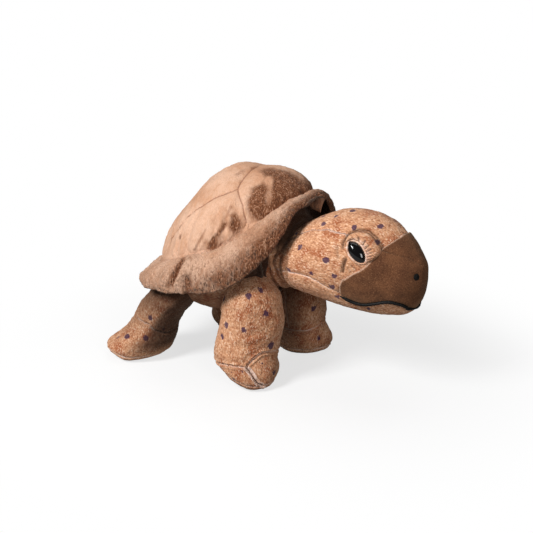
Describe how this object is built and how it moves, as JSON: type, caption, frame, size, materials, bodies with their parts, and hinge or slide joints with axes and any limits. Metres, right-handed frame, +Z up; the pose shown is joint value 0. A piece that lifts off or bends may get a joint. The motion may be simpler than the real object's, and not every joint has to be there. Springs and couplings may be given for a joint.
{
  "type": "plush turtle",
  "caption": "Stuffed plush turtle standing on four feet, with a sewn shell, a loose brim, a felt beak and limbs that bend where they are sewn on.",
  "frame": {"origin": "on the floor under the middle of the whole part", "axes": "+X towards the beak, +Y to the turtle's left, +Z up"},
  "size_m": [0.2816, 0.1554, 0.177],
  "materials": {
    "shell_plush": "short-pile tan plush with darker strokes in the nap",
    "printed_plush": "short-pile plush printed with rust mottling and small dark violet dots",
    "beak_felt": "flat olive-brown felt, very fine fibres",
    "eye_plastic": "polished black",
    "black_thread": "thick matte embroidery thread",
    "washer_plastic": "moulded lock washer, hidden inside",
    "stuffing": "loose polyester fibre, hidden inside"
  },
  "bodies": {
    "torso": {"body_filling": "stuffing", "shell_front": "shell_plush", "shell_crown": "shell_plush", "shell_side_right": "shell_plush", "shell_side_left": "shell_plush", "belly_right": "printed_plush", "belly_left": "printed_plush", "neck_collar": "shell_plush", "brim_front": "shell_plush", "brim_lining_front": "shell_plush", "brim_left": "shell_plush", "brim_lining_left": "shell_plush", "brim_rear": "shell_plush", "brim_lining_rear": "shell_plush", "brim_right": "shell_plush", "brim_lining_right": "shell_plush"},
    "neck": {"neck_filling": "stuffing", "neck_sleeve": "printed_plush"},
    "head": {"head_filling": "stuffing", "forehead_strip": "printed_plush", "chin_panel": "printed_plush", "beak_bridge": "beak_felt", "head_side_right": "printed_plush", "beak_side_right": "beak_felt", "upper_eyelid_right": "printed_plush", "eye_right": "eye_plastic", "eye_washer_right": "washer_plastic", "nostril_right": "black_thread", "head_side_left": "printed_plush", "beak_side_left": "beak_felt", "upper_eyelid_left": "printed_plush", "eye_left": "eye_plastic", "eye_washer_left": "washer_plastic", "nostril_left": "black_thread", "mouth_stitching": "black_thread"},
    "front_right_leg": {"front_right_leg_filling": "stuffing", "front_right_sleeve": "printed_plush", "front_right_foot": "printed_plush", "front_right_sole": "printed_plush"},
    "front_left_leg": {"front_left_leg_filling": "stuffing", "front_left_sleeve": "printed_plush", "front_left_foot": "printed_plush", "front_left_sole": "printed_plush"},
    "rear_right_leg": {"rear_right_leg_filling": "stuffing", "rear_right_sleeve": "printed_plush", "rear_right_foot": "printed_plush", "rear_right_sole": "printed_plush"},
    "rear_left_leg": {"rear_left_leg_filling": "stuffing", "rear_left_sleeve": "printed_plush", "rear_left_foot": "printed_plush", "rear_left_sole": "printed_plush"},
    "tail": {"tail_filling": "stuffing", "tail_skin": "printed_plush"}
  },
  "joints": [
    {"name": "neck_nod", "type": "hinge", "parent": "torso", "child": "neck", "pos_m": [0.008, 0, 0.11], "axis": [0, 1, 0], "range_deg": [-6, 12], "stiffness_Nm_per_rad": 3},
    {"name": "head_turn", "type": "hinge", "parent": "neck", "child": "head", "pos_m": [0.008, 0, 0.11], "axis": [0, 0, 1], "range_deg": [-15, 15], "stiffness_Nm_per_rad": 1.5},
    {"name": "front_right_swing", "type": "hinge", "parent": "torso", "child": "front_right_leg", "pos_m": [-0.002, -0.037, 0.07], "axis": [0, 1, 0], "range_deg": [-10, 10], "stiffness_Nm_per_rad": 1.5},
    {"name": "front_left_swing", "type": "hinge", "parent": "torso", "child": "front_left_leg", "pos_m": [-0.002, 0.037, 0.07], "axis": [0, 1, 0], "range_deg": [-10, 10], "stiffness_Nm_per_rad": 1.5},
    {"name": "rear_right_swing", "type": "hinge", "parent": "torso", "child": "rear_right_leg", "pos_m": [-0.073, -0.033, 0.072], "axis": [0, 1, 0], "range_deg": [-10, 5], "stiffness_Nm_per_rad": 1.5},
    {"name": "rear_left_swing", "type": "hinge", "parent": "torso", "child": "rear_left_leg", "pos_m": [-0.073, 0.033, 0.072], "axis": [0, 1, 0], "range_deg": [-10, 10], "stiffness_Nm_per_rad": 1.5},
    {"name": "tail_wag", "type": "hinge", "parent": "torso", "child": "tail", "pos_m": [-0.102, 0, 0.076], "axis": [0, 0, 1], "range_deg": [-15, 15], "stiffness_Nm_per_rad": 0.02}
  ]
}
